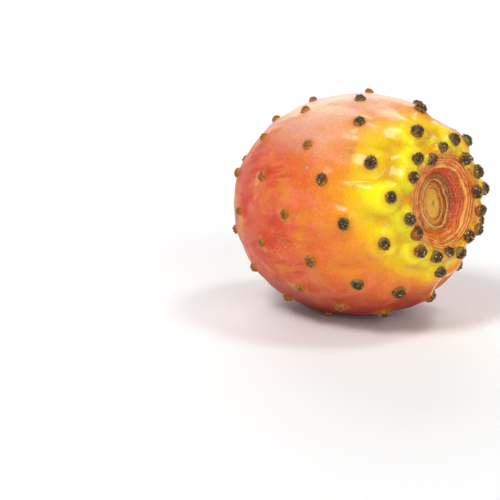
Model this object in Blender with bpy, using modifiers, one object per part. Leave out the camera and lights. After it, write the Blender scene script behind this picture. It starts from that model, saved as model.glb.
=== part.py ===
# A prickly pear fruit as picked, lying on its side with the navel end a little raised.
# Metres, +Z up, +X towards the navel. The origin is the middle of the flat spot it rests on.
import math
import random

import bmesh
import bpy
from mathutils import Matrix, Vector

MM = 0.001

# The body is turned on its own axis: heights run from the widest ring, positive to the navel
GIRTH_RADIUS = 29.2 * MM
STEM_REACH = 35.0 * MM
NAVEL_REACH = 31.4 * MM
STEM_FULLNESS = 2.2
NAVEL_FULLNESS = 2.1
REST_TILT = math.radians(10.5)
PRESSED_IN = 0.5 * MM

# The navel is a dish with rings, and its rim stands a little oblique to the axis
RIM_RADIUS = 11.8 * MM
RIM_LEAN = math.tan(math.radians(3.8))
LEAN_FADES_OVER = 16.0 * MM
# Radius and height from the rim, from the lip inwards, in millimetres
NAVEL_OUTLINE = (
    (11.3, 0.2), (10.5, -0.3), (9.8, -0.15), (9.1, -1.0), (7.7, -2.2), (6.4, -2.9),
    (5.5, -2.7), (4.8, -3.3), (3.9, -3.05), (3.3, -3.4), (1.7, -3.2),
)

# The scar where the fruit was picked, opposite the navel: a shallow cup with a raised edge
SCAR_RADIUS = 5.5 * MM
SCAR_OUTLINE = ((4.9, 0.25), (4.2, -0.1), (2.4, -0.9))
SCAR_FLOOR = -1.1

# Areoles follow one spiral that starts at the navel, each a fixed turn on from the last
FIRST_TURN = math.radians(268.0)
TURN_STEP = math.radians(99.75)
FIRST_WAY = 0.4 * MM
CROWDED = 15
CROWDED_STEP = 0.17 * MM
CROWD_GAP = 0.7 * MM
OPEN_STEP = 1.02 * MM
BARE_AT_STEM = 8.0 * MM
TURN_SCATTER = math.radians(4.0)
CROWDED_SCATTER = 0.6 * MM
OPEN_SCATTER = 1.6 * MM
SEED = 2723

# A cushion of spines is a low dome, smaller on the stem half
CUSHION_WIDE = 3.0 * MM
CUSHION_SMALL = 2.1 * MM
SMALLER_FROM = 22.0 * MM
SMALLER_BY = 40.0 * MM
CUSHION_HEIGHT_SHARE = 0.38
CUSHION_SUNK_SHARE = 0.15
CUSHION_SIDES = 8
CUSHION_ROWS = 4

# The skin swells under each areole, in a tear that trails towards the stem
SWELL_AT_NAVEL = 1.1 * MM
SWELL_ON_BODY = 0.35 * MM
SWELL_FADES_BY = 26.0 * MM
SWELL_WIDTH = 2.7 * MM
SWELL_AHEAD = 2.2 * MM
SWELL_TRAIL = 5.0 * MM
CALM_AT_RIM = 3.0 * MM

# Mesh fineness
TURN_COUNT = 60
FLANK_ROWS = 32

SKIN_COLOUR = (0.86, 0.42, 0.16, 1.0)
SKIN_ROUGHNESS = 0.35


def smooth(share):
    share = min(max(share, 0.0), 1.0)
    return share * share * (3.0 - 2.0 * share)


def mix(start, end, share):
    return start + (end - start) * share


def flank_radius(height):
    """Radius of the smooth flank at this height."""
    if height < 0.0:
        reach, fullness = STEM_REACH, STEM_FULLNESS
    else:
        reach, fullness = NAVEL_REACH, NAVEL_FULLNESS
    share = min(abs(height) / reach, 1.0)
    return GIRTH_RADIUS * (1.0 - share**fullness) ** (1.0 / fullness)


def height_of_radius(radius, reach, fullness):
    return reach * (1.0 - (radius / GIRTH_RADIUS) ** fullness) ** (1.0 / fullness)


RIM_HEIGHT = height_of_radius(RIM_RADIUS, NAVEL_REACH, NAVEL_FULLNESS)
SCAR_HEIGHT = -height_of_radius(SCAR_RADIUS, STEM_REACH, STEM_FULLNESS)


def flank_points(count):
    """Points down the flank from the rim to the scar, evenly spaced, with their way from the rim."""
    fine = 2000
    points = []
    way = 0.0
    for step in range(fine + 1):
        # The cosine packs the fine steps at both ends, where the flank turns fastest
        share = 0.5 - 0.5 * math.cos(math.pi * step / fine)
        height = mix(RIM_HEIGHT, SCAR_HEIGHT, share)
        point = Vector((flank_radius(height), height))
        if points:
            way += (point - points[-1][0]).length
        points.append((point, way))
    spaced = []
    cursor = 0
    for step in range(count + 1):
        target = way * step / count
        while cursor < fine and points[cursor][1] < target:
            cursor += 1
        spaced.append((points[cursor][0], target))
    return spaced


FLANK = flank_points(600)
FLANK_LENGTH = FLANK[-1][1]


def flank_at(way):
    """Radius, height and outward normal of the flank, this way down from the rim."""
    place = min(max(way / FLANK_LENGTH, 0.0), 1.0) * (len(FLANK) - 1)
    below = min(int(place), len(FLANK) - 2)
    start, end = FLANK[below][0], FLANK[below + 1][0]
    point = start.lerp(end, place - below)
    along = (end - start).normalized()
    return point.x, point.y, Vector((-along.y, along.x))


def way_at(height):
    """Way down from the rim to this height, by halving, because the flank only descends."""
    low, high = 0.0, FLANK_LENGTH
    for _ in range(20):
        middle = 0.5 * (low + high)
        if flank_at(middle)[1] > height:
            low = middle
        else:
            high = middle
    return 0.5 * (low + high)


def areoles():
    """Way from the rim, turn and size of every areole, from the navel to the stem."""
    draw = random.Random(SEED)
    found = []
    way = FIRST_WAY
    count = 0
    while way < FLANK_LENGTH - BARE_AT_STEM:
        turn = FIRST_TURN + count * TURN_STEP + draw.uniform(-TURN_SCATTER, TURN_SCATTER)
        small = smooth((way - SMALLER_FROM) / (SMALLER_BY - SMALLER_FROM))
        width = mix(CUSHION_WIDE, CUSHION_SMALL, small) * draw.uniform(0.9, 1.1)
        scatter = CROWDED_SCATTER if count < CROWDED else OPEN_SCATTER
        slide = draw.uniform(-scatter, scatter)
        found.append((max(way + slide, FIRST_WAY), turn, width))
        way += CROWDED_STEP if count < CROWDED else OPEN_STEP
        if count == CROWDED:
            way += CROWD_GAP
        count += 1
    return found


AREOLES = areoles()


def swell(way, turn, radius):
    """How far the skin stands out here over the smooth flank."""
    total = 0.0
    for centre, areole_turn, _ in AREOLES:
        along = way - centre
        if abs(along) > 3.0 * SWELL_TRAIL:
            continue
        across = radius * math.remainder(turn - areole_turn, math.tau) / SWELL_WIDTH
        along /= SWELL_TRAIL if along > 0.0 else SWELL_AHEAD
        height = mix(SWELL_AT_NAVEL, SWELL_ON_BODY, smooth(centre / SWELL_FADES_BY))
        total = max(total, height * math.exp(-0.5 * (across * across + along * along)))
    return total * smooth(0.25 + way / CALM_AT_RIM)


def lean(radius, height, turn):
    """How far a point moves along the axis, because the rim is oblique."""
    share = smooth((height - RIM_HEIGHT + LEAN_FADES_OVER) / LEAN_FADES_OVER)
    return RIM_LEAN * radius * math.sin(turn) * share


def turned_outline():
    """The whole outline from the middle of the navel to the middle of the scar."""
    navel = [(radius * MM, RIM_HEIGHT + rise * MM) for radius, rise in NAVEL_OUTLINE]
    middle = (0.0, navel[-1][1])
    flank = [(point.x, point.y) for point, _ in flank_points(FLANK_ROWS)]
    scar = [(radius * MM, SCAR_HEIGHT - rise * MM) for radius, rise in SCAR_OUTLINE]
    floor = (0.0, SCAR_HEIGHT - SCAR_FLOOR * MM)
    return [middle, *reversed(navel), *flank, *scar, floor]


def add_object(name, mesh, collection):
    made = bpy.data.objects.new(name, mesh)
    collection.objects.link(made)
    return made


def apply_modifiers(made):
    """Keep the shape that the modifiers give as the object's own mesh."""
    graph = bpy.context.evaluated_depsgraph_get()
    old = made.data
    made.data = bpy.data.meshes.new_from_object(made.evaluated_get(graph))
    made.modifiers.clear()
    bpy.data.meshes.remove(old)


def turned_body(collection):
    """The smooth fruit, turned about its own axis, which is Z here."""
    mesh = bpy.data.meshes.new("fruit")
    outline = turned_outline()
    edges = [(step, step + 1) for step in range(len(outline) - 1)]
    mesh.from_pydata([(radius, 0.0, height) for radius, height in outline], edges, [])
    body = add_object("fruit", mesh, collection)
    screw = body.modifiers.new("turn", "SCREW")
    screw.axis = "Z"
    screw.steps = screw.render_steps = TURN_COUNT
    screw.use_merge_vertices = True
    screw.merge_threshold = 0.01 * MM
    apply_modifiers(body)
    return body


def raise_swellings(body):
    """Push each point of the flank out to the swollen skin, and lean the rim."""
    for vertex in body.data.vertices:
        x, y, height = vertex.co
        radius = math.hypot(x, y)
        turn = math.atan2(y, x)
        inside_navel = height > 0.0 and radius < RIM_RADIUS - 0.1 * MM
        if not inside_navel:
            way = way_at(height)
            normal = flank_at(way)[2]
            # The swelling dies out on the scar, which is dry wood and keeps its shape
            out = swell(way, turn, radius) * smooth((height - SCAR_HEIGHT) / (6.0 * MM))
            radius += out * normal.x
            height += out * normal.y
        height += lean(radius, height, turn)
        vertex.co = (radius * math.cos(turn), radius * math.sin(turn), height)


def add_cushion(number, way, turn, width, collection):
    """One low dome, its root sunk into the swelling that carries it."""
    radius, height, normal = flank_at(way)
    out = swell(way, turn, radius) - CUSHION_SUNK_SHARE * width
    radius += out * normal.x
    height += out * normal.y
    height += lean(radius, height, turn)
    round_turn = Matrix.Rotation(turn, 4, "Z")
    place = Matrix.Translation((radius, 0.0, height))
    tip = Vector((normal.x, 0.0, normal.y)).to_track_quat("Z", "Y").to_matrix().to_4x4()
    flatten = Matrix.Diagonal((0.5, 0.5, CUSHION_HEIGHT_SHARE + CUSHION_SUNK_SHARE, 1.0))
    grown = bmesh.new()
    bmesh.ops.create_uvsphere(
        grown, u_segments=CUSHION_SIDES, v_segments=CUSHION_ROWS, radius=width
    )
    bmesh.ops.transform(grown, matrix=round_turn @ place @ tip @ flatten, verts=grown.verts)
    mesh = bpy.data.meshes.new(f"areole_{number}")
    grown.to_mesh(mesh)
    grown.free()
    add_object(mesh.name, mesh, collection)


def join_cushions(body, cushions):
    """One Boolean union makes the domes and the skin a single body."""
    join = body.modifiers.new("join", "BOOLEAN")
    join.operation = "UNION"
    join.operand_type = "COLLECTION"
    join.collection = cushions
    join.solver = "EXACT"
    apply_modifiers(body)
    for dome in list(cushions.objects):
        bpy.data.objects.remove(dome)
    bpy.data.collections.remove(cushions)


def lay_down(body):
    """Turn the axis to its tilt and bring the lowest point of the flank over the origin."""
    side = Vector((0.0, 1.0, 0.0))
    axis = Vector((math.cos(REST_TILT), 0.0, math.sin(REST_TILT)))
    top = axis.cross(side)
    turned = Matrix((side, top, axis)).transposed().to_4x4()
    lowest = min(
        (axis * point.y - top * point.x for point, _ in FLANK), key=lambda place: place.z
    )
    lift = Matrix.Translation((-lowest.x, 0.0, -lowest.z - PRESSED_IN))
    body.data.transform(lift @ turned)


def flatten_spot(body):
    """Cut the underside off level, where the weight has pressed it flat."""
    cut = bmesh.new()
    cut.from_mesh(body.data)
    everything = cut.verts[:] + cut.edges[:] + cut.faces[:]
    bmesh.ops.bisect_plane(
        cut, geom=everything, plane_co=(0.0, 0.0, 0.0), plane_no=(0.0, 0.0, 1.0), clear_inner=True
    )
    open_edges = [edge for edge in cut.edges if edge.is_boundary]
    bmesh.ops.holes_fill(cut, edges=open_edges)
    bmesh.ops.recalc_face_normals(cut, faces=cut.faces)
    cut.to_mesh(body.data)
    cut.free()


def give_skin(body):
    skin = bpy.data.materials.new("skin")
    skin.use_nodes = True
    shader = skin.node_tree.nodes["Principled BSDF"]
    shader.inputs["Base Color"].default_value = SKIN_COLOUR
    shader.inputs["Roughness"].default_value = SKIN_ROUGHNESS
    shader.inputs["Metallic"].default_value = 0.0
    body.data.materials.clear()
    body.data.materials.append(skin)
    body.data.shade_smooth()
    body.data.set_sharp_from_angle(angle=math.radians(35.0))


def main():
    for old in list(bpy.data.objects):
        bpy.data.objects.remove(old)
    pear = bpy.data.collections.new("prickly_pear_fruit")
    cushions = bpy.data.collections.new("cushions")
    for made in (pear, cushions):
        bpy.context.scene.collection.children.link(made)
    body = turned_body(pear)
    raise_swellings(body)
    for number, (way, turn, width) in enumerate(AREOLES):
        add_cushion(number, way, turn, width, cushions)
    join_cushions(body, cushions)
    lay_down(body)
    flatten_spot(body)
    give_skin(body)
    print(f"{len(AREOLES)} areoles, {len(body.data.polygons)} faces")


main()
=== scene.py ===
import math
import random

import bpy
import numpy as np
from mathutils import Matrix, Vector


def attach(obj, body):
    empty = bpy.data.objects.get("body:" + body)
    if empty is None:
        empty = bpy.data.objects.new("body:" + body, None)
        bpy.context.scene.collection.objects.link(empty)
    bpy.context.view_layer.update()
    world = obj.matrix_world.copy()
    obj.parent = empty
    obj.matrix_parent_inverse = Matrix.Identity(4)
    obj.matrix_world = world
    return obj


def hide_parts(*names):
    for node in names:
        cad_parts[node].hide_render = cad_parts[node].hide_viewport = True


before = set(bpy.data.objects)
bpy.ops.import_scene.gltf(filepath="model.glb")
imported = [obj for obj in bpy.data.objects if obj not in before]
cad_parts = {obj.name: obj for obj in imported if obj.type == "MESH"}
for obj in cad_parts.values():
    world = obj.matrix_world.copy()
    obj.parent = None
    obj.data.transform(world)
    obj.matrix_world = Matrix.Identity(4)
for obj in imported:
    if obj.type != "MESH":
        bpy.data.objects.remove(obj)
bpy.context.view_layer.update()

# A prickly pear fruit lying on its side, navel end to the front right. The frame is in metres.
# Everything that grows on the fruit is drawn in millimetres about its own axis and laid down last.
mm = 0.001


class Wire:
    # a socket that formulas can be written with

    def __init__(self, tree, socket):
        self.tree = tree
        self.socket = socket

    def calc(self, operation, *others):
        node = self.tree.nodes.new("ShaderNodeMath")
        node.operation = operation
        for item, place in zip((self, *others), node.inputs):
            plug(self.tree, item, place)
        return Wire(self.tree, node.outputs[0])

    def __add__(self, other):
        return self.calc("ADD", other)

    def __sub__(self, other):
        return self.calc("SUBTRACT", other)

    def __mul__(self, other):
        return self.calc("MULTIPLY", other)

    def __truediv__(self, other):
        return self.calc("DIVIDE", other)

    def __pow__(self, other):
        return self.calc("POWER", other)

    def __neg__(self):
        return self.calc("MULTIPLY", -1.0)

    def __rsub__(self, other):
        return -self + other

    def __rtruediv__(self, other):
        return self**-1.0 * other

    __radd__ = __add__
    __rmul__ = __mul__

    def bell(self):
        # 1 at zero, dying away on both sides
        return (self * self * -0.5).calc("EXPONENT")

    def plateau(self):
        # like bell, with a flatter top and steeper sides
        return ((self * self) ** 1.4 * -0.5).calc("EXPONENT")

    def rise(self, low, high):
        # 0 below low, 1 above high, soft in between
        node = add(self.tree, "ShaderNodeMapRange", {"Value": self, "From Min": low, "From Max": high},
                   interpolation_type="SMOOTHSTEP")
        return node["Result"]


class Node:
    # a node whose outputs are read by name

    def __init__(self, tree, node):
        self.tree = tree
        self.node = node

    def __getitem__(self, name):
        return Wire(self.tree, pick(self.node.outputs, name))


def pick(sockets, name):
    return next(socket for socket in sockets if socket.enabled and socket.name == name)


def plug(tree, item, socket):
    if isinstance(item, Node):
        item = item[next(output.name for output in item.node.outputs if output.enabled)]
    if isinstance(item, Wire):
        tree.links.new(item.socket, socket)
    else:
        socket.default_value = item


def add(tree, kind, values=None, **options):
    node = tree.nodes.new(kind)
    for option, value in options.items():
        setattr(node, option, value)
    for name, item in (values or {}).items():
        plug(tree, item, pick(node.inputs, name))
    return Node(tree, node)


def vectorOf(tree, x=0.0, y=0.0, z=0.0):
    return add(tree, "ShaderNodeCombineXYZ", {"X": x, "Y": y, "Z": z})["Vector"]


def vectorCalc(tree, operation, *items, give="Vector"):
    node = tree.nodes.new("ShaderNodeVectorMath")
    node.operation = operation
    places = [socket for socket in node.inputs if socket.enabled]
    for item, place in zip(items, places):
        plug(tree, item, place)
    return Node(tree, node)[give]


def stretched(tree, vector, x, y, z):
    return vectorCalc(tree, "MULTIPLY", vector, (x, y, z))


def scaled(tree, vector, amount):
    node = tree.nodes.new("ShaderNodeVectorMath")
    node.operation = "SCALE"
    plug(tree, vector, node.inputs["Vector"])
    plug(tree, amount, node.inputs["Scale"])
    return Node(tree, node)["Vector"]


def noise(tree, vector, size, detail=2.0, roughness=0.5, seed=0.0, warp=0.0, give="Fac"):
    # smooth random field from 0 to 1 with bumps about this size
    node = add(tree, "ShaderNodeTexNoise", {}, noise_dimensions="4D")
    values = {"Vector": vector, "W": seed, "Scale": 1.0 / size, "Detail": detail,
              "Roughness": roughness, "Distortion": warp}
    for name, item in values.items():
        plug(tree, item, pick(node.node.inputs, name))
    return node[give]


def cells(tree, vector, size, feature="F1", seed=0.0, give="Distance"):
    node = add(tree, "ShaderNodeTexVoronoi", {}, voronoi_dimensions="4D", feature=feature)
    for name, item in {"Vector": vector, "W": seed, "Scale": 1.0 / size}.items():
        plug(tree, item, pick(node.node.inputs, name))
    return node[give]


def newTree(name, inputs):
    tree = bpy.data.node_groups.new(name, "GeometryNodeTree")
    tree.is_modifier = True
    tree.interface.new_socket("Geometry", in_out="INPUT", socket_type="NodeSocketGeometry")
    tree.interface.new_socket("Geometry", in_out="OUTPUT", socket_type="NodeSocketGeometry")
    kinds = {bool: "NodeSocketBool", int: "NodeSocketInt", float: "NodeSocketFloat",
             bpy.types.Object: "NodeSocketObject"}
    for label, value in inputs.items():
        kind = next(kinds[k] for k in kinds if isinstance(value, k))
        socket = tree.interface.new_socket(label, in_out="INPUT", socket_type=kind)
        if kind != "NodeSocketObject":
            socket.default_value = value
    return tree, Node(tree, tree.nodes.new("NodeGroupInput"))


def endTree(tree, geometry, material):
    real = add(tree, "GeometryNodeRealizeInstances", {"Geometry": geometry})
    smooth = add(tree, "GeometryNodeSetShadeSmooth", {"Geometry": real})
    painted = add(tree, "GeometryNodeSetMaterial", {"Geometry": smooth, "Material": material})
    plug(tree, painted, tree.nodes.new("NodeGroupOutput").inputs["Geometry"])


def grow(name, mesh, tree, inputs):
    # runs a tree on a mesh and keeps the result as a plain mesh at the origin
    made = bpy.data.objects.new(name, mesh)
    bpy.context.scene.collection.objects.link(made)
    modifier = made.modifiers.new(name, "NODES")
    modifier.node_group = tree
    for item in tree.interface.items_tree:
        if item.in_out == "INPUT" and item.name in inputs:
            modifier[item.identifier] = inputs[item.name]
    made.update_tag()
    graph = bpy.context.evaluated_depsgraph_get()
    made.data = bpy.data.meshes.new_from_object(made.evaluated_get(graph))
    made.data.name = name
    made.modifiers.clear()
    print(f"{name}: {sum(len(face.vertices) - 2 for face in made.data.polygons)} triangles")
    return made


def named(tree, name, kind="FLOAT"):
    return add(tree, "GeometryNodeInputNamedAttribute", {"Name": name}, data_type=kind)["Attribute"]


def keep(tree, geometry, name, value, kind="FLOAT", domain="POINT"):
    return add(tree, "GeometryNodeStoreNamedAttribute",
               {"Geometry": geometry, "Name": name, "Value": value}, data_type=kind, domain=domain)["Geometry"]


# The rule the fruit grows by, in millimetres and degrees
body = {
    "girthRadius": 29.2, "stemReach": 35.0, "stemFullness": 2.2,
    "navelReach": 31.4, "navelFullness": 2.1,
    "restTilt": 10.5, "pressedIn": 0.5,
    "rimRadius": 11.8, "rimLean": 3.8, "leanFadesOver": 16.0,
    # radius and height from the rim, from the lip inwards
    "navelOutline": ((11.3, 0.2), (10.5, -0.3), (9.8, -0.15), (9.1, -1.0), (7.7, -2.2), (6.4, -2.9),
                     (5.5, -2.7), (4.8, -3.3), (3.9, -3.05), (3.3, -3.4), (1.7, -3.2)),
    # radius and height out from the scar's edge, from the edge inwards
    "scarRadius": 5.5, "scarOutline": ((4.9, 0.25), (4.2, -0.1), (2.4, -0.9)), "scarFloor": -1.1,
}
spiral = {
    "firstTurn": 268.0, "turnStep": 99.75, "firstWay": 0.4,
    "crowded": 15, "crowdedStep": 0.17, "crowdGap": 0.7, "openStep": 1.02, "bareAtStem": 8.0,
    "turnScatter": 4.0, "crowdedScatter": 0.6, "openScatter": 1.6, "seed": 2723,
    "cushionWide": 3.0, "cushionSmall": 2.1, "smallerFrom": 22.0, "smallerBy": 40.0,
}


def smooth(share):
    share = min(max(share, 0.0), 1.0)
    return share * share * (3.0 - 2.0 * share)


def mix(start, end, share):
    return start + (end - start) * share


def heightOf(radius, reach, fullness):
    return reach * (1.0 - (radius / body["girthRadius"]) ** fullness) ** (1.0 / fullness)


rimHeight = heightOf(body["rimRadius"], body["navelReach"], body["navelFullness"])
scarHeight = -heightOf(body["scarRadius"], body["stemReach"], body["stemFullness"])


def flankRadius(height):
    end = "stem" if height < 0.0 else "navel"
    share = min(abs(height) / body[end + "Reach"], 1.0)
    fullness = body[end + "Fullness"]
    return body["girthRadius"] * (1.0 - share**fullness) ** (1.0 / fullness)


def evenly(points, count):
    # the same line with evenly spaced points
    line = np.array(points)
    way = np.concatenate(([0.0], np.cumsum(np.linalg.norm(np.diff(line, axis=0), axis=1))))
    at = np.linspace(0.0, way[-1], count)
    return np.column_stack((np.interp(at, way, line[:, 0]), np.interp(at, way, line[:, 1])))


def rounded(points, count):
    # a smooth line through a few drawn points, evenly spaced
    ends = [points[0], *points, points[-1]]
    line = []
    for a, b, c, d in zip(ends, ends[1:], ends[2:], ends[3:]):
        a, b, c, d = (np.array(point) for point in (a, b, c, d))
        for share in np.linspace(0.0, 1.0, 24, endpoint=False):
            line.append(b + 0.5 * share * (c - a + share * (2.0 * a - 5.0 * b + 4.0 * c - d
                                                            + share * (3.0 * (b - c) + d - a))))
    line.append(np.array(points[-1]))
    return evenly(line, count)


def flankLine(count):
    bends = 0.5 - 0.5 * np.cos(np.linspace(0.0, math.pi, 3001))
    heights = rimHeight + (scarHeight - rimHeight) * bends
    return evenly([(flankRadius(height), height) for height in heights], count)


flank = flankLine(1001)
flankLength = float(np.sum(np.linalg.norm(np.diff(flank, axis=0), axis=1)))


def flankAt(way):
    # radius, height and outward normal this far down the flank from the rim
    step = way / flankLength * (len(flank) - 1)
    below = int(min(max(step, 0), len(flank) - 2))
    start, end = flank[below], flank[below + 1]
    along = (end - start) / np.linalg.norm(end - start)
    radius, height = start + (end - start) * (step - below)
    return radius, height, (-along[1], along[0])


def areoleRule():
    # way from the rim, turn and width of every areole, from the navel to the stem
    draw = random.Random(spiral["seed"])
    found = []
    way = spiral["firstWay"]
    while way < flankLength - spiral["bareAtStem"]:
        count = len(found)
        crowded = count < spiral["crowded"]
        turn = spiral["firstTurn"] + count * spiral["turnStep"]
        turn += draw.uniform(-spiral["turnScatter"], spiral["turnScatter"])
        small = smooth((way - spiral["smallerFrom"]) / (spiral["smallerBy"] - spiral["smallerFrom"]))
        wide = mix(spiral["cushionWide"], spiral["cushionSmall"], small) * draw.uniform(0.9, 1.1)
        scatter = spiral["crowdedScatter" if crowded else "openScatter"]
        slide = draw.uniform(-scatter, scatter)
        found.append((max(way + slide, spiral["firstWay"]), math.radians(turn), wide))
        way += spiral["crowdedStep" if crowded else "openStep"]
        if count == spiral["crowded"]:
            way += spiral["crowdGap"]
    return found


areoles = areoleRule()
print(f"{len(areoles)} areoles along {flankLength:.1f} mm of flank")


def layDown():
    # from the fruit's own axis, in millimetres, to where it lies in the frame
    tilt = math.radians(body["restTilt"])
    side = Vector((0.0, 1.0, 0.0))
    axis = Vector((math.cos(tilt), 0.0, math.sin(tilt)))
    top = axis.cross(side)
    lowest = min((axis * height - top * radius for radius, height in flank), key=lambda point: point.z)
    turned = Matrix((side, top, axis)).transposed().to_4x4()
    lift = Matrix.Translation((-lowest.x, 0.0, -lowest.z - body["pressedIn"]))
    return Matrix.Scale(mm, 4) @ lift @ turned


lying = layDown()


# The skin is a turned outline, swollen under each areole
skin = {
    "Columns": 392, "navelRows": 84, "flankRows": 146, "scarRows": 20,
    "Swell at Navel": 2.2, "Swell on Body": 0.4, "Swell Fades By": 30.0,
    "Swell Width": 3.5, "Swell Ahead": 2.4, "Swell Trail": 7.0, "Trail Grows By": 7.0, "Calm at Rim": 2.0,
    "Valley Depth": 0.7,
    "Soft Valleys": 0.1, "Seed": 27.0,
    "Ridge Height": 1.1, "Lump Height": 0.35, "Wave Height": 0.6, "Crease Height": 0.05,
    "Ring Height": 0.26, "Line Height": 0.03, "Line Spacing": 0.75, "Ring Wander": 2.8, "Oval": 0.22,
    "Scar Grain": 0.3, "Mark Dip": 0.6, "Mark Lip": 0.3,
}
navelRidges = (
    # radius, half width in millimetres and share of the ring height
    (11.3, 0.15, 0.5), (10.75, 0.15, 0.8), (10.2, 0.15, 0.6), (9.55, 0.18, 1.0), (8.9, 0.14, 0.35), (7.6, 0.14, 0.25),
    (6.5, 0.14, 0.6), (5.5, 0.17, 0.9), (4.7, 0.13, 0.5), (3.8, 0.15, 0.7),
)
# a healed, shrunken patch by the navel, and a dry scuff: way from the rim, turn, and half sizes across and along
markedPatch = {"way": 15.4, "turn": 294.0, "across": 8.0, "along": 5.0, "slant": -38.0}
scuffPatch = {"way": 18.6, "turn": 139.5, "across": 3.0, "along": 2.0, "slant": 0.0}


def patchField(tree, radius, turn, way, patch):
    # distance from the middle of a patch, 1 at its edge
    across = radius * (turn - math.radians(patch["turn"])).calc("WRAP", math.pi, -math.pi)
    along = way - patch["way"]
    cosine, sine = math.cos(math.radians(patch["slant"])), math.sin(math.radians(patch["slant"]))
    first = (across * cosine + along * sine) / patch["across"]
    second = (along * cosine - across * sine) / patch["along"]
    return (first * first + second * second).calc("SQRT")


def skinOutline():
    # one point for each row from the middle of the navel to the middle of the scar
    lip = [(body["rimRadius"], rimHeight)]
    lip += [(radius, rimHeight + rise) for radius, rise in body["navelOutline"]]
    dish = rounded([*lip, (0.0, lip[-1][1])], skin["navelRows"])[::-1]
    side = flankLine(skin["flankRows"])
    edge = [(body["scarRadius"], scarHeight)]
    edge += [(radius, scarHeight - rise) for radius, rise in body["scarOutline"]]
    scar = rounded([*edge, (0.0, scarHeight - body["scarFloor"])], skin["scarRows"])
    line = np.vstack((dish[:-1], side, scar[1:]))
    line[0, 0] = line[-1, 0] = 0.0
    steps = np.linalg.norm(np.diff(line, axis=0), axis=1)
    way = np.concatenate(([0.0], np.cumsum(steps))) - steps[:len(dish) - 1].sum()
    along = np.gradient(line, axis=0)
    along /= np.linalg.norm(along, axis=1, keepdims=True)
    mesh = bpy.data.meshes.new("skinOutline")
    mesh.from_pydata([(radius, 0.0, height) for radius, height in line], [], [])
    mesh.attributes.new("way", "FLOAT", "POINT").data.foreach_set("value", way.astype(np.float32))
    out = np.column_stack((-along[:, 1], np.zeros(len(line)), along[:, 0]))
    out[0], out[-1] = (0.0, 0.0, 1.0), (0.0, 0.0, -1.0)
    mesh.attributes.new("out", "FLOAT_VECTOR", "POINT").data.foreach_set("vector", out.ravel().astype(np.float32))
    return mesh


def siteMesh():
    # one point for each areole, with where it sits on the unrolled flank
    points, outwards, facts = [], [], {"siteWay": [], "siteTurn": [], "siteWide": []}
    for way, turn, wide in areoles:
        radius, height, normal = flankAt(way)
        share = smooth((height - rimHeight + body["leanFadesOver"]) / body["leanFadesOver"])
        height += math.tan(math.radians(body["rimLean"])) * radius * math.sin(turn) * share
        points.append(lying @ Vector((radius * math.cos(turn), radius * math.sin(turn), height)))
        outward = Vector((normal[0] * math.cos(turn), normal[0] * math.sin(turn), normal[1]))
        outwards.extend((lying.to_3x3() @ outward).normalized())
        for fact, value in zip(facts, (way, turn, wide)):
            facts[fact].append(value)
    mesh = bpy.data.meshes.new("areoleSites")
    mesh.from_pydata(points, [], [])
    for fact, values in facts.items():
        mesh.attributes.new(fact, "FLOAT", "POINT").data.foreach_set("value", values)
    mesh.attributes.new("siteOut", "FLOAT_VECTOR", "POINT").data.foreach_set("vector", outwards)
    return mesh


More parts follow.
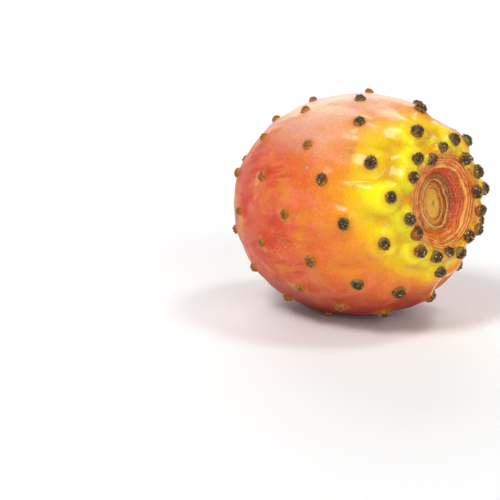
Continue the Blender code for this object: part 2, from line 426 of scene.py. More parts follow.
def skinTree(material, sites):
    inputs = {name: value for name, value in skin.items() if name[0].isupper()}
    tree, given = newTree("fruitSkin", {"Sites": sites, **inputs})

    def fromOutline(value, row, kind):
        return add(tree, "GeometryNodeSampleIndex", {"Geometry": given["Geometry"], "Value": value, "Index": row},
                   data_type=kind)["Value"]

    # a grid with a row for each outline point, rolled round the axis
    rows = add(tree, "GeometryNodeAttributeDomainSize", {"Geometry": given["Geometry"]})["Point Count"]
    grid = add(tree, "GeometryNodeMeshGrid", {"Vertices X": given["Columns"] + 1.0, "Vertices Y": rows})["Mesh"]
    index = add(tree, "GeometryNodeInputIndex")["Index"]
    row = index.calc("MODULO", rows)
    turn = (index / rows).calc("FLOOR") / given["Columns"] * math.tau
    point = fromOutline(add(tree, "GeometryNodeInputPosition")["Position"], row, "FLOAT_VECTOR")
    parts = add(tree, "ShaderNodeSeparateXYZ", {"Vector": point})
    outward = add(tree, "ShaderNodeSeparateXYZ",
                  {"Vector": fromOutline(named(tree, "out", "FLOAT_VECTOR"), row, "FLOAT_VECTOR")})
    geometry = grid
    facts = {"turn": turn, "radius": parts["X"], "height": parts["Z"], "outX": outward["X"], "outZ": outward["Z"],
             "way": fromOutline(named(tree, "way"), row, "FLOAT")}
    for name, value in facts.items():
        geometry = keep(tree, geometry, name, value)
    turn, radius, height, outX, outZ, way = (named(tree, name) for name in facts)
    cosine, sine = turn.calc("COSINE"), turn.calc("SINE")
    unrolled = vectorOf(tree, radius * cosine, radius * sine, way)
    geometry = keep(tree, geometry, "unrolled", unrolled, "FLOAT_VECTOR")

    # the swelling is the tallest of the tears that trail from the areoles
    before = tree.nodes.new("GeometryNodeRepeatInput")
    after = tree.nodes.new("GeometryNodeRepeatOutput")
    before.pair_with_output(after)
    plug(tree, geometry, before.inputs["Geometry"])
    siteCloud = add(tree, "GeometryNodeObjectInfo", {"Object": given["Sites"]})["Geometry"]
    siteCount = add(tree, "GeometryNodeAttributeDomainSize", {"Geometry": siteCloud})["Point Count"]
    plug(tree, siteCount, before.inputs["Iterations"])
    site = Wire(tree, before.outputs["Iteration"])

    def ofSite(name):
        return add(tree, "GeometryNodeSampleIndex", {"Geometry": siteCloud, "Value": named(tree, name), "Index": site},
                   data_type="FLOAT")["Value"]

    sitePlace, siteTurn = ofSite("siteWay"), ofSite("siteTurn")
    across = radius * (turn - siteTurn).calc("WRAP", math.pi, -math.pi)
    along = way - sitePlace
    behind = along.calc("GREATER_THAN", 0.0)
    trail = (given["Swell Trail"] - given["Swell Ahead"]) * (sitePlace / given["Trail Grows By"]).rise(0.0, 1.0)
    reach = given["Swell Ahead"] + trail * behind
    lift = given["Swell at Navel"] + (given["Swell on Body"] - given["Swell at Navel"]) * (
        sitePlace / given["Swell Fades By"]).rise(0.0, 1.0)
    tear = (across / given["Swell Width"]).plateau() * (along / reach).bell()
    inside = Wire(tree, before.outputs["Geometry"])
    swollen = named(tree, "swell").calc("SMOOTH_MAX", lift * tear, given["Soft Valleys"])
    inside = keep(tree, inside, "swell", swollen)
    inside = keep(tree, inside, "crest", named(tree, "crest").calc("SMOOTH_MAX", tear, given["Soft Valleys"]))
    plug(tree, inside, after.inputs["Geometry"])
    geometry = Wire(tree, after.outputs["Geometry"])

    # fine relief, each kind in its own zone
    seed = given["Seed"]
    onFlank = way.rise(-0.6, 1.5)
    swell = named(tree, "swell") * (way / given["Calm at Rim"] + 0.35).rise(0.0, 1.0)
    swell = swell * (height - scarHeight).rise(0.0, 6.0)
    swell = swell - (1.0 - named(tree, "crest")) * given["Valley Depth"] * way.rise(1.0, 6.0) * (1.0 - way.rise(14.0, 30.0))
    inYellow = way.rise(0.5, 6.0) * (1.0 - way.rise(16.0, 30.0))
    ridges = noise(tree, stretched(tree, unrolled, 1.0, 1.0, 0.5), 6.5, 1.0, seed=seed, warp=0.6) - 0.5
    lumps = noise(tree, stretched(tree, unrolled, 1.0, 1.0, 0.7), 3.2, 1.0, seed=seed + 2.0) - 0.5
    waves = noise(tree, unrolled, 15.0, 1.0, seed=seed + 3.0) - 0.5
    creases = noise(tree, unrolled, 1.6, 3.0, 0.6, seed + 5.0) - 0.5
    relief = (ridges * given["Ridge Height"] + lumps * given["Lump Height"]) * (inYellow * 0.8 + 0.2)
    relief = relief + waves * given["Wave Height"] * way.rise(2.0, 14.0) + creases * given["Crease Height"]
    upright = vectorOf(tree, radius * cosine, radius * sine, height)
    wander = noise(tree, upright, 5.5, 2.0, seed=seed + 7.0) - 0.5
    inNavel = 1.0 - way.rise(-0.9, 0.2)
    rings = sum(((radius - ridge) / width).bell() * share for ridge, width, share in navelRidges)
    patchy = noise(tree, upright, 3.0, 2.0, seed=seed + 9.0)
    drift = noise(tree, vectorOf(tree, 0.0, 0.0, way), 1.3, 1.0, seed=seed + 13.0) * 1.6
    lines = ((way + drift + wander * 2.0) / given["Line Spacing"] * math.tau).calc("SINE") * 0.5 + 0.5
    lines = lines * lines * patchy.rise(0.35, 0.65) * inNavel
    rings = rings * patchy.rise(0.25, 0.7) + rings * 0.25
    geometry = keep(tree, geometry, "ring", rings)
    geometry = keep(tree, geometry, "line", lines)
    grain = noise(tree, upright, 0.8, 3.0, 0.65, seed + 11.0) - 0.5
    woody = way.rise(flankLength - 1.0, flankLength + 0.6)
    rough = noise(tree, upright, 2.5, 2.0, seed=seed + 15.0) - 0.5
    mark = patchField(tree, radius, turn, way, markedPatch) + rough * 0.25
    geometry = keep(tree, geometry, "mark", mark)
    geometry = keep(tree, geometry, "scuff", patchField(tree, radius, turn, way, scuffPatch) + rough * 1.2)
    dip = (1.0 - mark.rise(0.3, 1.05)) * given["Mark Dip"]
    lip = ((mark - 1.05) / 0.08).bell() * given["Mark Lip"]
    swell = swell * (1.0 - (1.0 - mark.rise(0.7, 1.05)) * 0.7)
    lifted = swell + onFlank * (1.0 - woody) * relief - dip + lip
    lifted = lifted + rings * given["Ring Height"] + lines * given["Line Height"] + woody * grain * given["Scar Grain"]

    # rings aren't true circles
    offRound = wander * given["Ring Wander"] * (1.0 - way.rise(-3.0, 0.0)) * radius.rise(0.0, 4.0)
    newRadius = radius + outX * lifted + offRound
    newHeight = height + outZ * lifted
    leaning = math.tan(math.radians(body["rimLean"])) * newRadius * sine
    newHeight = newHeight + leaning * (newHeight - (rimHeight - body["leanFadesOver"])).rise(0.0, body["leanFadesOver"])
    oval = (1.0 - newRadius.rise(2.0, 9.5)) * (1.0 - way.rise(-4.0, -2.0)) * given["Oval"]
    place = vectorOf(tree, newRadius * cosine * (1.0 - oval), newRadius * sine * (1.0 + oval), newHeight)
    geometry = add(tree, "GeometryNodeSetPosition", {"Geometry": geometry, "Position": place})["Geometry"]
    geometry = settle(tree, geometry, laidDown=True)
    geometry = add(tree, "GeometryNodeMergeByDistance", {"Geometry": geometry, "Distance": 0.0004 * mm})["Geometry"]
    geometry = add(tree, "GeometryNodeFlipFaces", {"Mesh": geometry})["Mesh"]
    geometry = keep(tree, geometry, "near", farFromAreoles(tree, geometry, siteCloud))
    for name in ("turn", "radius", "height", "outX", "outZ"):
        geometry = add(tree, "GeometryNodeRemoveAttribute", {"Geometry": geometry, "Name": name})["Geometry"]
    endTree(tree, geometry, material)
    return tree


def ontoSkin(tree, sites, skinShape):
    # moves each site outwards, to where the swollen skin passes over it
    outward = named(tree, "siteOut", "FLOAT_VECTOR")
    start = vectorCalc(tree, "ADD", add(tree, "GeometryNodeInputPosition"), scaled(tree, outward, -3.0 * mm))
    hit = add(tree, "GeometryNodeRaycast", {
        "Target Geometry": skinShape, "Source Position": start, "Ray Direction": outward, "Ray Length": 9.0 * mm})
    return add(tree, "GeometryNodeSetPosition", {
        "Geometry": sites, "Selection": hit["Is Hit"], "Position": hit["Hit Position"]})["Geometry"]


def farFromAreoles(tree, skinShape, siteCloud):
    # distance to the nearest areole on the finished skin, 1 at its edge
    feet = ontoSkin(tree, siteCloud, skinShape)
    here = add(tree, "GeometryNodeInputPosition")["Position"]
    index = add(tree, "GeometryNodeSampleNearest", {"Geometry": feet, "Sample Position": here}, domain="POINT")["Index"]
    place = add(tree, "GeometryNodeSampleIndex", {"Geometry": feet, "Value": here, "Index": index},
                data_type="FLOAT_VECTOR")["Value"]
    wide = add(tree, "GeometryNodeSampleIndex", {"Geometry": feet, "Value": named(tree, "siteWide"), "Index": index},
               data_type="FLOAT")["Value"]
    return vectorCalc(tree, "DISTANCE", here, place, give="Value") / (wide * 0.5 * mm)


def settle(tree, geometry, laidDown=False):
    # lays the piece down, and presses it flat where it would go through the surface it lies on
    geometry = add(tree, "GeometryNodeRealizeInstances", {"Geometry": geometry})["Geometry"]
    if laidDown:
        place, turn, size = lying.decompose()
        geometry = add(tree, "GeometryNodeTransform", {
            "Geometry": geometry, "Translation": place, "Rotation": turn.to_euler(), "Scale": size})["Geometry"]
    at = add(tree, "ShaderNodeSeparateXYZ", {"Vector": add(tree, "GeometryNodeInputPosition")})
    pressed = vectorOf(tree, at["X"], at["Y"], at["Z"].calc("MAXIMUM", 0.0))
    return add(tree, "GeometryNodeSetPosition", {"Geometry": geometry, "Position": pressed})["Geometry"]


# The areoles: felt cushions packed with dark grains and the stubs of fine spines
cushion = {
    "Height Share": 0.46, "Sunk Share": 0.15, "Felt Size": 0.42, "Felt Height": 0.1, "Along": 1.0, "Across": 1.22,
    "Pale From": 26.0, "Pale By": 36.0, "Sides": 26, "Rings": 14, "Seed": 5,
}
grains = {"Grains per Square": 4.4, "Small": 0.13, "Large": 0.3, "Crown From": 0.4, "Seed": 11}
spines = {"Spines per Square": 2.5, "Short": 0.2, "Long": 0.45, "Thick": 0.04, "Spread": 0.75, "Seed": 19}


def cushionTree(material, skinPiece):
    tree, given = newTree("areoleCushions", {"Skin": skinPiece, **cushion})
    surface = add(tree, "GeometryNodeObjectInfo", {"Object": given["Skin"]})["Geometry"]
    geometry = ontoSkin(tree, given["Geometry"], surface)
    normal = add(tree, "GeometryNodeSampleNearestSurface",
                 {"Mesh": surface, "Value": add(tree, "GeometryNodeInputNormal")["Normal"]},
                 data_type="FLOAT_VECTOR")["Value"]
    geometry = keep(tree, geometry, "outward", normal, "FLOAT_VECTOR")
    outward = named(tree, "outward", "FLOAT_VECTOR")
    wide = named(tree, "siteWide") * mm
    tint = add(tree, "FunctionNodeRandomValue", {"Seed": given["Seed"]})["Value"]
    geometry = keep(tree, geometry, "tint", tint)
    pale = (named(tree, "siteWay") + tint * 6.0).rise(given["Pale From"], given["Pale By"])
    geometry = keep(tree, geometry, "pale", pale)
    sink = scaled(tree, outward, wide * given["Sunk Share"] * -1.0)
    geometry = add(tree, "GeometryNodeSetPosition", {"Geometry": geometry, "Offset": sink})["Geometry"]
    dome = add(tree, "GeometryNodeMeshUVSphere",
               {"Segments": given["Sides"], "Rings": given["Rings"], "Radius": 1.0})["Mesh"]
    crown = add(tree, "ShaderNodeSeparateXYZ", {"Vector": add(tree, "GeometryNodeInputPosition")})["Z"]
    dome = keep(tree, dome, "crown", crown)
    facing = add(tree, "FunctionNodeAlignRotationToVector", {"Vector": outward}, axis="Z")
    axis = lying.to_3x3().col[2].normalized()
    facing = add(tree, "FunctionNodeAlignRotationToVector", {"Rotation": facing, "Vector": tuple(axis)},
                 axis="X", pivot_axis="Z")
    size = vectorOf(tree, wide * 0.5 * given["Along"], wide * 0.5 * given["Across"],
                    wide * (given["Height Share"] + given["Sunk Share"]))
    geometry = add(tree, "GeometryNodeInstanceOnPoints", {
        "Points": geometry, "Instance": dome, "Rotation": facing, "Scale": size})["Instances"]
    geometry = add(tree, "GeometryNodeRealizeInstances", {"Geometry": geometry})["Geometry"]
    at = scaled(tree, add(tree, "GeometryNodeInputPosition"), 1.0 / mm)
    felt = 0.5 - cells(tree, at, given["Felt Size"], "SMOOTH_F1", 2.0)
    felt = felt * given["Felt Height"] * named(tree, "crown").rise(-0.2, 0.3) * mm
    push = scaled(tree, add(tree, "GeometryNodeInputNormal")["Normal"], felt)
    geometry = add(tree, "GeometryNodeSetPosition", {"Geometry": geometry, "Offset": push})["Geometry"]
    endTree(tree, settle(tree, geometry), material)
    return tree


def onCushions(tree, given, cushions, density, crownFrom):
    # scattered points on the tops of the cushions
    domes = add(tree, "GeometryNodeObjectInfo", {"Object": given[cushions]})["Geometry"]
    top = named(tree, "crown").calc("GREATER_THAN", crownFrom)
    clear = add(tree, "ShaderNodeSeparateXYZ", {"Vector": add(tree, "GeometryNodeInputPosition")})["Z"]
    top = top * clear.calc("GREATER_THAN", 0.3 * mm)
    return add(tree, "GeometryNodeDistributePointsOnFaces", {
        "Mesh": domes, "Selection": top, "Density": density / (mm * mm), "Seed": given["Seed"]})


def grainTree(material, cushions):
    tree, given = newTree("areoleGrains", {"Cushions": cushions, **grains})
    spots = onCushions(tree, given, "Cushions", given["Grains per Square"], given["Crown From"])
    shade = add(tree, "FunctionNodeRandomValue", {"Seed": given["Seed"] + 1.0})["Value"]
    points = keep(tree, spots["Points"], "shade", shade)
    grain = add(tree, "GeometryNodeMeshIcoSphere", {"Radius": 1.0, "Subdivisions": 1})["Mesh"]
    size = add(tree, "FunctionNodeRandomValue", {
        "Min": given["Small"], "Max": given["Large"], "Seed": given["Seed"] + 2.0})["Value"] * mm
    size = vectorOf(tree, size, size * 0.85, size * 1.1)
    geometry = add(tree, "GeometryNodeInstanceOnPoints", {
        "Points": points, "Instance": grain, "Rotation": spots["Rotation"], "Scale": size})["Instances"]
    endTree(tree, settle(tree, geometry), material)
    return tree


def spineTree(material, cushions):
    tree, given = newTree("glochids", {"Cushions": cushions, **spines})
    spots = onCushions(tree, given, "Cushions", given["Spines per Square"], 0.1)
    shade = add(tree, "FunctionNodeRandomValue", {"Seed": given["Seed"] + 1.0})["Value"]
    points = keep(tree, spots["Points"], "shade", shade)
    spine = add(tree, "GeometryNodeMeshCone", {
        "Vertices": 4, "Radius Top": 0.15, "Radius Bottom": 1.0, "Depth": 1.0})["Mesh"]
    spray = add(tree, "FunctionNodeRandomValue", {
        "Min": (-1.0, -1.0, -1.0), "Max": (1.0, 1.0, 1.0), "Seed": given["Seed"] + 2.0}, data_type="FLOAT_VECTOR")["Value"]
    aim = vectorCalc(tree, "ADD", spots["Normal"], scaled(tree, spray, given["Spread"]))
    facing = add(tree, "FunctionNodeAlignRotationToVector", {"Vector": aim}, axis="Z")
    length = add(tree, "FunctionNodeRandomValue", {
        "Min": given["Short"], "Max": given["Long"], "Seed": given["Seed"] + 3.0})["Value"] * mm
    thick = given["Thick"] * mm
    geometry = add(tree, "GeometryNodeInstanceOnPoints", {
        "Points": points, "Instance": spine, "Rotation": facing, "Scale": vectorOf(tree, thick, thick, length)})["Instances"]
    endTree(tree, settle(tree, geometry), material)
    return tree


def colour(code):
    # a paint given as red, green and blue in hex, made linear
    parts = [int(code[place:place + 2], 16) / 255.0 for place in (0, 2, 4)]
    return (*(part / 12.92 if part <= 0.04045 else ((part + 0.055) / 1.055) ** 2.4 for part in parts), 1.0)


def newMaterial(name):
    material = bpy.data.materials.new(name)
    material.use_nodes = True
    material.node_tree.nodes.clear()
    return material, material.node_tree


def finishMaterial(tree, shader, values):
    surface = add(tree, "ShaderNodeBsdfPrincipled", {**shader, **values})
    plug(tree, surface["BSDF"], tree.nodes.new("ShaderNodeOutputMaterial").inputs["Surface"])


def blend(tree, share, first, second, kind="MIX"):
    return add(tree, "ShaderNodeMix", {"Factor": share, "A": first, "B": second},
               data_type="RGBA", blend_type=kind)["Result"]


def ramp(tree, value, stops):
    node = tree.nodes.new("ShaderNodeValToRGB")
    node.color_ramp.interpolation = "EASE"
    span = stops[-1][0] - stops[0][0]
    marks = node.color_ramp.elements
    while len(marks) < len(stops):
        marks.new(0.5)
    for mark, (at, code) in zip(marks, stops):
        mark.position = (at - stops[0][0]) / span
        mark.color = colour(code)
    plug(tree, (value - stops[0][0]) / span, node.inputs["Fac"])
    return Node(tree, node)["Color"]


def attribute(tree, name, give="Fac"):
    return add(tree, "ShaderNodeAttribute", {}, attribute_name=name)[give]


skinPaint = {
    # colour by distance from the rim, in millimetres
    "zones": ((0.0, "C8B00E"), (3.0, "DACE08"), (7.0, "F2E206"), (12.0, "F6DC06"), (15.5, "F2BA0A"),
              (19.0, "EC9418"), (23.0, "E67C26"), (30.0, "E26E2A"), (40.0, "DC622E"), (52.0, "D4542E"),
              (64.0, "CE5A38"), (78.0, "D07A38"), (84.0, "C8963C")),
    "yellowSide": (-0.766, 0.643, 0.0), "yellowReach": 8.0, "zoneWander": 8.0, "zoneEdge": 5.0,
    "lemon": "FAF218", "valley": "CC8E00", "lime": "CACC0A",
    "pink": "EC7452", "amber": "DE8A1C", "coral": "CC2E12", "cream": "F0C898",
    "bloomPink": "E8B4A0", "bloomCream": "E2C69A", "underside": "8A1204",
    "dots": "F4CC80", "scuff": "A88048", "flake": "F0E0B8", "halo": "D07800", "ring": "8A4808",
    "fold": "FFEC90", "mark": "E49C54", "markDark": "C8703A", "markEdge": "FFDCA8", "markGap": "7A3C14",
    "markSide": (0.914, 0.407, 0.0),
    # colour by way into the stem scar
    "scar": ((-1.2, "A87038"), (-0.5, "5C3A1C"), (0.4, "C8A468"), (1.5, "B48C52"), (2.4, "8E6838"), (3.4, "6E4C28"),
             (4.6, "A8824C"), (5.6, "54381C")),
    "scarPale": "E0C48C", "scarDark": "4C3018",
    # colour by way into the navel
    "navel": ((-13.4, "8A7020"), (-12.4, "E0AA34"), (-10.8, "DEA632"), (-10.1, "B46212"), (-9.3, "E09630"),
              (-8.3, "9C4400"), (-7.4, "EAA238"), (-6.5, "943E00"), (-5.3, "DC6808"), (-3.8, "F08010"),
              (-2.8, "F08A18"), (-2.1, "FAA840"), (-1.5, "F07610"), (-0.7, "F69620"), (0.3, "B0640C")),
    "crest": "FAC070", "groove": "8A3400", "blush": "DC3200", "straw": "D8AC38", "smear": "6E3A08",
    "redSide": (0.85, 0.5, 0.0), "smearSide": (0.64, 0.77, 0.0), "spill": "DC7A18",
}


def bodyPaint(tree, paint, place, facts):
    # yellow at the navel, reaching further down one side, then orange and coral towards the stem
    unrolled, way, crest, near = facts["unrolled"], facts["way"], facts["crest"], facts["near"]
    up = add(tree, "ShaderNodeSeparateXYZ", {"Vector": place})["Z"]
    drift = noise(tree, stretched(tree, unrolled, 1.0, 1.0, 0.6), 12.0, 3.0, seed=1.0, warp=0.3) - 0.5
    edge = noise(tree, place, 3.5, 3.0, 0.6, seed=5.0) - 0.5
    round_ = vectorCalc(tree, "NORMALIZE", stretched(tree, unrolled, 1.0, 1.0, 0.0))
    sideways = 1.0 - vectorCalc(tree, "DOT_PRODUCT", round_, paint["yellowSide"], give="Value")
    settled = 1.0 - way.rise(50.0, 76.0) * 0.7
    reach = way + (drift * paint["zoneWander"] + edge * paint["zoneEdge"]) * settled
    reach = reach + sideways * paint["yellowReach"] * way.rise(1.0, 13.0)
    tone = ramp(tree, reach, paint["zones"])

    # in the yellow, lemon on the crests and golden valleys between, partly the skin's own colour, partly painted
    # highlight and painted shade; a little green by the rim
    yellow = 1.0 - reach.rise(9.0, 17.0)
    blotch = noise(tree, place, 6.0, 2.0, seed=6.0)
    # golden valleys: partly painted shade in the hollows between the swellings
    tone = blend(tree, (1.0 - (crest + (blotch - 0.5) * 0.9).rise(0.2, 0.8)) * yellow * 0.8, tone,
                 colour(paint["valley"]))
    # lemon crests: partly a painted highlight on the tops of the swellings
    tone = blend(tree, (crest + edge).rise(0.5, 1.0) * yellow * 0.5, tone, colour(paint["lemon"]))
    limeSide = 1.0 - sideways.rise(0.3, 1.2)
    tone = blend(tree, (1.0 - reach.rise(2.0, 9.0)) * blotch.rise(0.4, 0.6) * limeSide * 0.6, tone, colour(paint["lime"]))

    # pink, amber and coral patches beyond it, cream along the trails, a pale bloom on top that is partly painted sheen,
    # dark red underneath that is partly painted shade
    beyond = reach.rise(17.0, 27.0)
    patches = noise(tree, stretched(tree, unrolled, 1.0, 1.0, 0.8), 5.0, 4.0, 0.6, seed=8.0, warp=0.5)
    tone = blend(tree, patches.rise(0.46, 0.64) * beyond * 0.8, tone, colour(paint["pink"]))
    amber = noise(tree, place, 6.0, 3.0, 0.5, seed=10.0, warp=0.4)
    tone = blend(tree, amber.rise(0.48, 0.68) * beyond * 0.75, tone, colour(paint["amber"]))
    streaks = noise(tree, stretched(tree, unrolled, 1.0, 1.0, 0.3), 4.0, 4.0, 0.6, seed=13.0, warp=0.3)
    tone = blend(tree, streaks.rise(0.47, 0.64) * reach.rise(22.0, 40.0) * 0.85, tone, colour(paint["coral"]))
    trail = (crest + (amber - 0.5) * 1.6).rise(0.8, 1.2) * reach.rise(26.0, 36.0)
    tone = blend(tree, trail * 0.3, tone, colour(paint["cream"]))
    # dark red underneath: partly the skin's own colour, partly painted shade on the lower side
    low = 1.0 - (up + (patches - 0.5) * 8.0).rise(2.0, 17.0)
    tone = blend(tree, low * reach.rise(12.0, 24.0) * 0.92, tone, colour(paint["underside"]))
    # paler on top: partly a waxy bloom, partly painted sheen on the upper side
    high = (up + (streaks - 0.5) * 20.0).rise(43.0, 57.0) * reach.rise(10.0, 32.0)
    dusty = streaks.rise(0.42, 0.58) * reach.rise(18.0, 30.0)
    bloomAndSheen = blend(tree, dusty, colour(paint["bloomCream"]), colour(paint["bloomPink"]))
    tone = blend(tree, high * 0.75, tone, bloomAndSheen)

    # golden halos round the areoles and brown where they meet the skin, both partly painted shade
    halo = (1.0 - (near + (blotch - 0.5) * 1.2).rise(1.1, 2.6)) * way.rise(0.5, 4.0)
    tone = blend(tree, halo * 0.45, tone, colour(paint["halo"]))
    tone = blend(tree, (1.0 - (near + edge * 0.5).rise(0.95, 1.4)) * 0.6, tone, colour(paint["ring"]))
    # a pale line along a fold crest round the areoles, a painted highlight, also raised a little in the bump
    fold = ((near + (blotch - 0.5) * 1.6 - 2.5) / 0.07).bell() * drift.rise(0.04, 0.14) * yellow * way.rise(2.0, 5.0)
    tone = blend(tree, fold * 0.38, tone, colour(paint["fold"]))
    return tone, beyond, fold


def wornPaint(tree, paint, place, facts, tone):
    # fine mottling, pale pores, dry scuffs with loose flakes, and the healed patch
    mark, way = facts["mark"], facts["way"]
    mottle = noise(tree, place, 0.6, 4.0, 0.65, seed=21.0)
    tone = blend(tree, mottle.rise(0.4, 0.7) * 0.2, tone, colour("FFF0C8"), "SOFT_LIGHT")
    tone = blend(tree, (1.0 - mottle).rise(0.4, 0.7) * 0.3, tone, colour("7A3018"), "SOFT_LIGHT")
    pores = 1.0 - cells(tree, place, 0.8, seed=3.0).rise(0.1, 0.22)
    tone = blend(tree, pores * 0.22, tone, colour(paint["dots"]))
    worn = noise(tree, place, 7.0, 4.0, 0.7, seed=31.0).rise(0.58, 0.70) * way.rise(4.0, 10.0) * 0.7
    scuff = (1.0 - facts["scuff"].rise(0.4, 1.3)) * 1.2
    worn = worn.calc("MAXIMUM", scuff * noise(tree, place, 1.2, 3.0, 0.7, seed=33.0).rise(0.35, 0.6))
    tone = blend(tree, worn * 0.6, tone, colour(paint["scuff"]))
    flakes = worn * (1.0 - cells(tree, place, 1.1, seed=35.0).rise(0.18, 0.32))
    tone = blend(tree, flakes * 0.9, tone, colour(paint["flake"]))
    cork = noise(tree, place, 1.5, 4.0, 0.65, seed=37.0)
    turned = vectorCalc(tree, "DOT_PRODUCT", facts["unrolled"], paint["markSide"], give="Value")
    faint = turned.rise(-3.0, 2.5)
    mark = mark + (noise(tree, place, 4.0, 3.0, 0.6, seed=39.0) - 0.5) * faint * 0.9
    healed = blend(tree, cork.rise(0.4, 0.65), colour(paint["mark"]), colour(paint["markDark"]))
    inside = 1.0 - (mark + (cork - 0.5) * (faint * 0.4 + 0.2)).rise(0.7, 1.02)
    tone = blend(tree, inside * (0.6 - faint * 0.25), tone, healed)
    clear = cork.rise(0.3, 0.55) * (1.0 - faint * 0.8)
    tone = blend(tree, ((mark - 0.96) / 0.04).bell() * clear * 0.8, tone, colour(paint["markGap"]))
    tone = blend(tree, ((mark - 1.06) / 0.05).bell() * clear, tone, colour(paint["markEdge"]))
    return tone, mottle, worn, (mottle * 0.5 + pores * 0.3 + worn * 0.6 + flakes * 3.0) * 0.02


def navelPaint(tree, paint, place, facts, mottle):
    # dry bands round the navel, light on each ring and dark between, partly painted highlight and painted shade; red on
    # the wall and the upper band; a painted shadow with brown smudges at the foot of the wall on one side
    way, ring, line = facts["way"], facts["ring"], facts["line"]
    blotch = noise(tree, place, 2.6, 3.0, 0.6, seed=51.0)
    warped = way + (mottle - 0.5) * 0.6 + (blotch - 0.5) * 1.2
    tone = ramp(tree, warped, paint["navel"])
    round_ = vectorCalc(tree, "NORMALIZE", stretched(tree, facts["unrolled"], 1.0, 1.0, 0.0))
    side = vectorCalc(tree, "DOT_PRODUCT", round_, paint["redSide"], give="Value")
    wall = way.rise(-7.0, -5.6) * (1.0 - way.rise(-4.6, -2.6))
    tone = blend(tree, (side + (blotch - 0.5) * 1.4).rise(0.0, 0.8) * wall * 0.9, tone, colour(paint["blush"]))
    band = way.rise(-3.2, -2.4) * (1.0 - way.rise(-0.9, -0.2))
    reds = noise(tree, place, 3.2, 2.0, seed=57.0)
    tone = blend(tree, (reds + side * 0.06).rise(0.54, 0.64) * band * 0.8, tone, colour(paint["blush"]))
    straw = (1.0 - reds).rise(0.5, 0.62) * (1.0 - side.rise(-0.2, 0.6)) * (1.0 - wall)
    tone = blend(tree, straw * 0.6, tone, colour(paint["straw"]))
    # a painted shadow with brown smudges at the foot of the wall, on one side only
    smudgeShadowFacing = vectorCalc(tree, "DOT_PRODUCT", round_, paint["smearSide"], give="Value")
    foot = ((way + 6.3 + (blotch - 0.5) * 1.5) / 1.1).bell()
    tone = blend(tree, foot * (smudgeShadowFacing + (mottle - 0.5)).rise(0.1, 0.8) * 0.8, tone, colour(paint["smear"]))
    drift = noise(tree, place, 3.5, 2.0, seed=53.0) * 1.4
    hair = ((way + drift) / 0.62 * math.tau).calc("SINE") * 0.5 + 0.5
    seen = noise(tree, place, 1.8, 2.0, seed=55.0).rise(0.35, 0.6) * (1.0 - wall * 0.6) * (way.rise(-11.0, -9.2) * 0.6 + 0.4)
    tone = blend(tree, (1.0 - hair).rise(0.4, 1.0) * seen * 0.65, tone, colour(paint["groove"]))
    tone = blend(tree, hair.rise(0.6, 1.0) * seen * 0.45, tone, colour(paint["crest"]))
    # dark at the foot of each ring and pale on its top: partly the dry tissue's colour, partly painted shade and
    # painted highlight
    beside = ring.rise(0.03, 0.15) * (1.0 - ring.rise(0.2, 0.45))
    tone = blend(tree, beside * 0.5, tone, colour(paint["groove"]))
    tone = blend(tree, ring.rise(0.35, 0.9) * (seen * 0.3 + 0.45), tone, colour(paint["crest"]))
    speckle = noise(tree, place, 0.5, 3.0, 0.7, seed=59.0)
    tone = blend(tree, speckle.rise(0.52, 0.66) * 0.4, tone, colour(paint["crest"]))
    tone = blend(tree, (1.0 - speckle).rise(0.52, 0.66) * 0.3, tone, colour(paint["groove"]))
    return tone, hair * seen + speckle


def skinMaterial():
    material, tree = newMaterial("skin")
    paint = skinPaint
    place = scaled(tree, add(tree, "ShaderNodeTexCoord")["Object"], 1.0 / mm)
    facts = {name: attribute(tree, name) for name in ("way", "near", "crest", "ring", "line", "mark", "scuff")}
    facts["unrolled"] = attribute(tree, "unrolled", "Vector")
    way = facts["way"]
    tone, beyond, fold = bodyPaint(tree, paint, place, facts)
    tone, mottle, worn, relief = wornPaint(tree, paint, place, facts, tone)
    inner, hair = navelPaint(tree, paint, place, facts, mottle)
    uneven = noise(tree, place, 3.0, 3.0, 0.6, seed=45.0)
    tone = blend(tree, (1.0 - (way - (uneven - 0.45) * 16.0).rise(0.0, 2.0)) * 0.75, tone, colour(paint["spill"]))
    inNavel = 1.0 - (way + (mottle - 0.5) * 1.2 - (uneven - 0.4) * 3.0).rise(-0.6, 0.5)
    tone = blend(tree, inNavel, tone, inner)
    woody = way.rise(flankLength - 1.0, flankLength + 0.4)
    outward = vectorCalc(tree, "NORMALIZE", stretched(tree, facts["unrolled"], 1.0, 1.0, 0.0))
    rays = noise(tree, scaled(tree, outward, 7.0), 1.0, 4.0, 0.7, seed=43.0)
    fibre = noise(tree, place, 1.3, 4.0, 0.7, seed=41.0) * 0.6 + rays * 0.4
    inScar = way - flankLength + (fibre - 0.5) * 1.4
    tone = blend(tree, woody, tone, ramp(tree, inScar, paint["scar"]))
    tone = blend(tree, woody * fibre.rise(0.48, 0.62) * 0.5, tone, colour(paint["scarPale"]))
    tone = blend(tree, woody * (1.0 - fibre).rise(0.5, 0.64) * 0.5, tone, colour(paint["scarDark"]))
    rough = (mottle - 0.5) * 0.16 + 0.3 + beyond * 0.2 + worn * 0.2 + inNavel * 0.12 + woody * 0.4
    relief = relief + hair * inNavel * 0.08 + fold * 0.05 + fibre * woody * 0.5
    bump = add(tree, "ShaderNodeBump", {"Strength": 0.6, "Distance": 1.0 * mm, "Height": relief})["Normal"]
    finishMaterial(tree, {"Base Color": tone, "Roughness": rough, "Normal": bump},
                   {"Specular IOR Level": 0.3, "Coat Weight": 0.1, "Coat Roughness": 0.08, "Subsurface Weight": 0.05,
                    "Subsurface Radius": (1.0, 0.4, 0.15), "Subsurface Scale": 1.5 * mm})
    return material


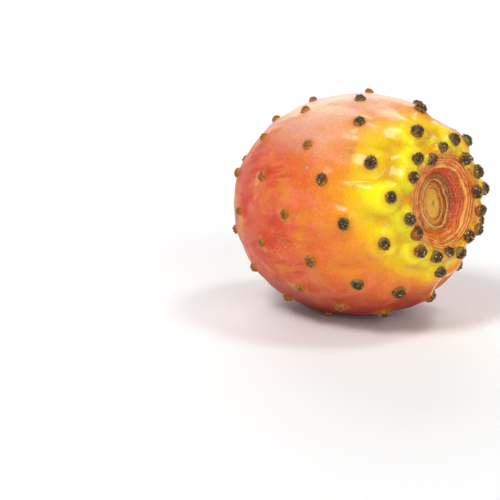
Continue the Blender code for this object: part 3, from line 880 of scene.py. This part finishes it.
def feltMaterial():
    material, tree = newMaterial("felt")
    place = scaled(tree, add(tree, "ShaderNodeTexCoord")["Object"], 1.0 / mm)
    crown, tint, pale = (attribute(tree, name) for name in ("crown", "tint", "pale"))
    mottle = noise(tree, place, 0.35, 3.0, 0.6, 4.0)
    rim = blend(tree, tint.rise(0.45, 0.75), colour("7A7238"), colour("A66218"))
    rim = blend(tree, pale, rim, colour("BE7C28"))
    heart = blend(tree, pale, colour("3A200C"), colour("8A4C12"))
    tone = blend(tree, (crown + (mottle - 0.5) * 0.5).rise(0.4, 0.8), rim, heart)
    tone = blend(tree, mottle.rise(0.5, 0.8) * 0.4, tone, colour("B4A684"))
    tone = blend(tree, (1.0 - (crown + (mottle - 0.5) * 0.4).rise(-0.1, 0.3)) * 0.7, tone, colour("8A4A14"))
    finishMaterial(tree, {"Base Color": tone}, {"Roughness": 0.5, "Specular IOR Level": 0.3})
    return material


def grainMaterial():
    material, tree = newMaterial("grain")
    shade, tint, pale = (attribute(tree, name) for name in ("shade", "tint", "pale"))
    # the palest grains are pale glochid stubs that also stand in for painted glints
    tone = ramp(tree, shade + (tint - 0.5) * 0.12, (
        (0.0, "1E1006"), (0.3, "3C220C"), (0.5, "5E3E16"), (0.7, "7E6226"), (0.9, "96803C"), (1.0, "DCBC84")))
    tone = blend(tree, pale * 0.7, tone, colour("A86820"))
    finishMaterial(tree, {"Base Color": tone}, {"Roughness": 0.3, "Specular IOR Level": 0.35})
    return material


def spineMaterial():
    material, tree = newMaterial("spine")
    tone = ramp(tree, attribute(tree, "shade"), ((0.0, "4A3018"), (0.5, "8A6A34"), (1.0, "D0B070")))
    finishMaterial(tree, {"Base Color": tone}, {"Roughness": 0.4})
    return material


photoView = {
    "azimuth": 45.4, "elevation": 15.0, "distance": 0.550, "imageSide": 500.0,
    "focalPixels": 2073.5, "fruitAcross": 359.5, "fruitDown": 204.6, "sensor": 36.0,
}


def makeCamera():
    turn, rise = math.radians(photoView["azimuth"]), math.radians(photoView["elevation"])
    back = Vector((math.sin(turn) * math.cos(rise), -math.cos(turn) * math.cos(rise), math.sin(rise)))
    right = Vector((math.cos(turn), math.sin(turn), 0.0))
    up = back.cross(right)
    middle = photoView["imageSide"] / 2.0
    reach = photoView["distance"] / photoView["focalPixels"]
    aside = right * (photoView["fruitAcross"] - middle) * reach - up * (photoView["fruitDown"] - middle) * reach
    lens = bpy.data.cameras.new("camera")
    lens.sensor_width = photoView["sensor"]
    lens.lens = photoView["focalPixels"] / photoView["imageSide"] * photoView["sensor"]
    lens.clip_start, lens.clip_end = 0.01, 50.0
    camera = bpy.data.objects.new("camera", lens)
    bpy.context.scene.collection.objects.link(camera)
    stand = Matrix((right, up, back)).transposed().to_4x4()
    stand.translation = lying.translation + back * photoView["distance"] - aside
    camera.matrix_world = stand
    bpy.context.scene.camera = camera


lamps = {
    # name: where it shines from, how wide it looks in degrees, strength
    "key": ((0.0, -0.43, 0.66), 20.0, 1.6),
    "fill": ((0.75, -0.25, 0.40), 40.0, 0.95),
    "high": ((0.23, 0.29, 0.80), 14.0, 0.75),
    "sheen": ((-0.70, 0.60, 0.46), 40.0, 1.05),
}
# the world's brightness at the horizon and overhead, and the heights between which it fades
sky = {"low": 1.0, "high": 0.25, "fadeFrom": 0.08, "fadeTo": 0.28}


def makeLights():
    for name, (place, width, strength) in lamps.items():
        light = bpy.data.lights.new(name, "SUN")
        light.angle, light.energy = math.radians(width), strength
        lamp = bpy.data.objects.new(name, light)
        lamp.location = place
        lamp.rotation_euler = (lying.translation - lamp.location).to_track_quat("-Z", "Y").to_euler()
        bpy.context.scene.collection.objects.link(lamp)
    world = bpy.data.worlds.new("studio")
    world.use_nodes = True
    tree = world.node_tree
    toward = add(tree, "ShaderNodeSeparateXYZ", {"Vector": add(tree, "ShaderNodeTexCoord")["Generated"]})["Z"]
    strength = (1.0 - toward.rise(sky["fadeFrom"], sky["fadeTo"])) * (sky["low"] - sky["high"]) + sky["high"]
    background = tree.nodes["Background"]
    background.inputs["Color"].default_value = (1.0, 1.0, 1.0, 1.0)
    plug(tree, strength, background.inputs["Strength"])
    scene = bpy.context.scene
    scene.world = world
    scene.view_settings.view_transform = "Standard"


def makeFloor():
    mesh = bpy.data.meshes.new("floor")
    half = 6.0
    mesh.from_pydata([(-half, -half, 0), (half, -half, 0), (half, half, 0), (-half, half, 0)], [], [(0, 1, 2, 3)])
    floor = bpy.data.objects.new("floor", mesh)
    bpy.context.scene.collection.objects.link(floor)
    material, tree = newMaterial("floor")
    finishMaterial(tree, {}, {"Base Color": (0.86, 0.86, 0.86, 1.0), "Roughness": 0.8})
    mesh.materials.append(material)


def main():
    makeCamera()
    makeLights()
    makeFloor()
    sites = bpy.data.objects.new("areoleSites", siteMesh())
    bpy.context.scene.collection.objects.link(sites)
    fruitSkin = grow("fruitSkin", skinOutline(), skinTree(skinMaterial(), sites), {"Sites": sites, **skin})
    bpy.data.objects.remove(sites)
    areoleCushions = grow("areoleCushions", siteMesh(), cushionTree(feltMaterial(), fruitSkin),
                          {"Skin": fruitSkin, **cushion})
    empty = bpy.data.meshes.new("nothing")
    areoleGrains = grow("areoleGrains", empty, grainTree(grainMaterial(), areoleCushions),
                        {"Cushions": areoleCushions, **grains})
    glochids = grow("glochids", empty, spineTree(spineMaterial(), areoleCushions),
                    {"Cushions": areoleCushions, **spines})
    for piece in (fruitSkin, areoleCushions, areoleGrains, glochids):
        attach(piece, "root")
    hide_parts("fruit")


main()
